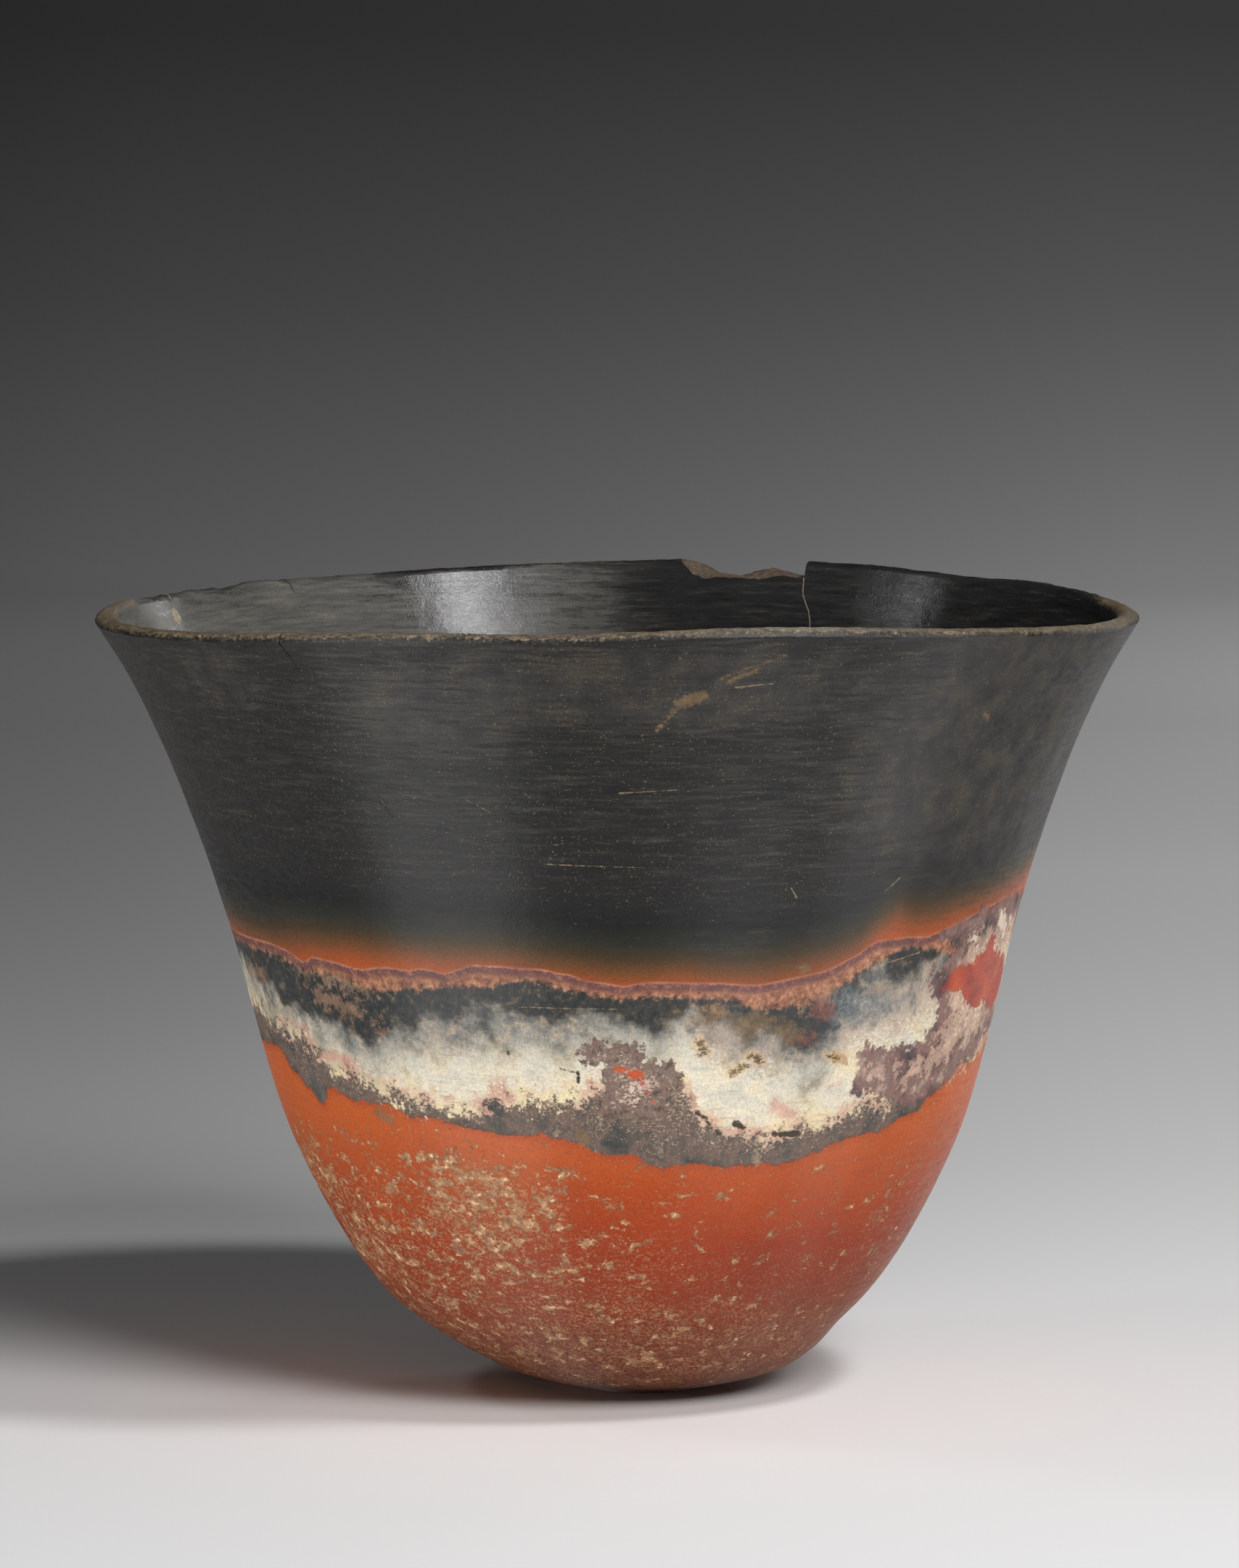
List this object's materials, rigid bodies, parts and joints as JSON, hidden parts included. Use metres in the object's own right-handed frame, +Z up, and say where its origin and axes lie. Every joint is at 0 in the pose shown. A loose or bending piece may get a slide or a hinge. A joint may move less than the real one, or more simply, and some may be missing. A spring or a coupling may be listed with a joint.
{
  "type": "ceramic beaker",
  "caption": "Round-based flared ceramic beaker with a black rim and red lower body, with a mended rim sherd.",
  "frame": {"origin": "middle of the small worn flat that the base rests on", "axes": "+Z up towards the mouth, -Y towards the viewer's side of the picture, +X to its right"},
  "size_m": [0.1426, 0.1426, 0.1097],
  "materials": {
    "black_topped_red_ware": "burnished clay, fired black at the rim and inside and red below, with a pale ash line between",
    "join_adhesive": "clear glue gone pale and slightly yellow",
    "gap_filler": "matt cream plaster"
  },
  "bodies": {
    "root": {"vessel_body": "black_topped_red_ware", "rear_rim_sherd": "black_topped_red_ware", "right_join_adhesive": "join_adhesive", "lower_join_adhesive": "join_adhesive", "left_join_adhesive": "join_adhesive", "left_join_fill": "gap_filler"}
  },
  "joints": []
}
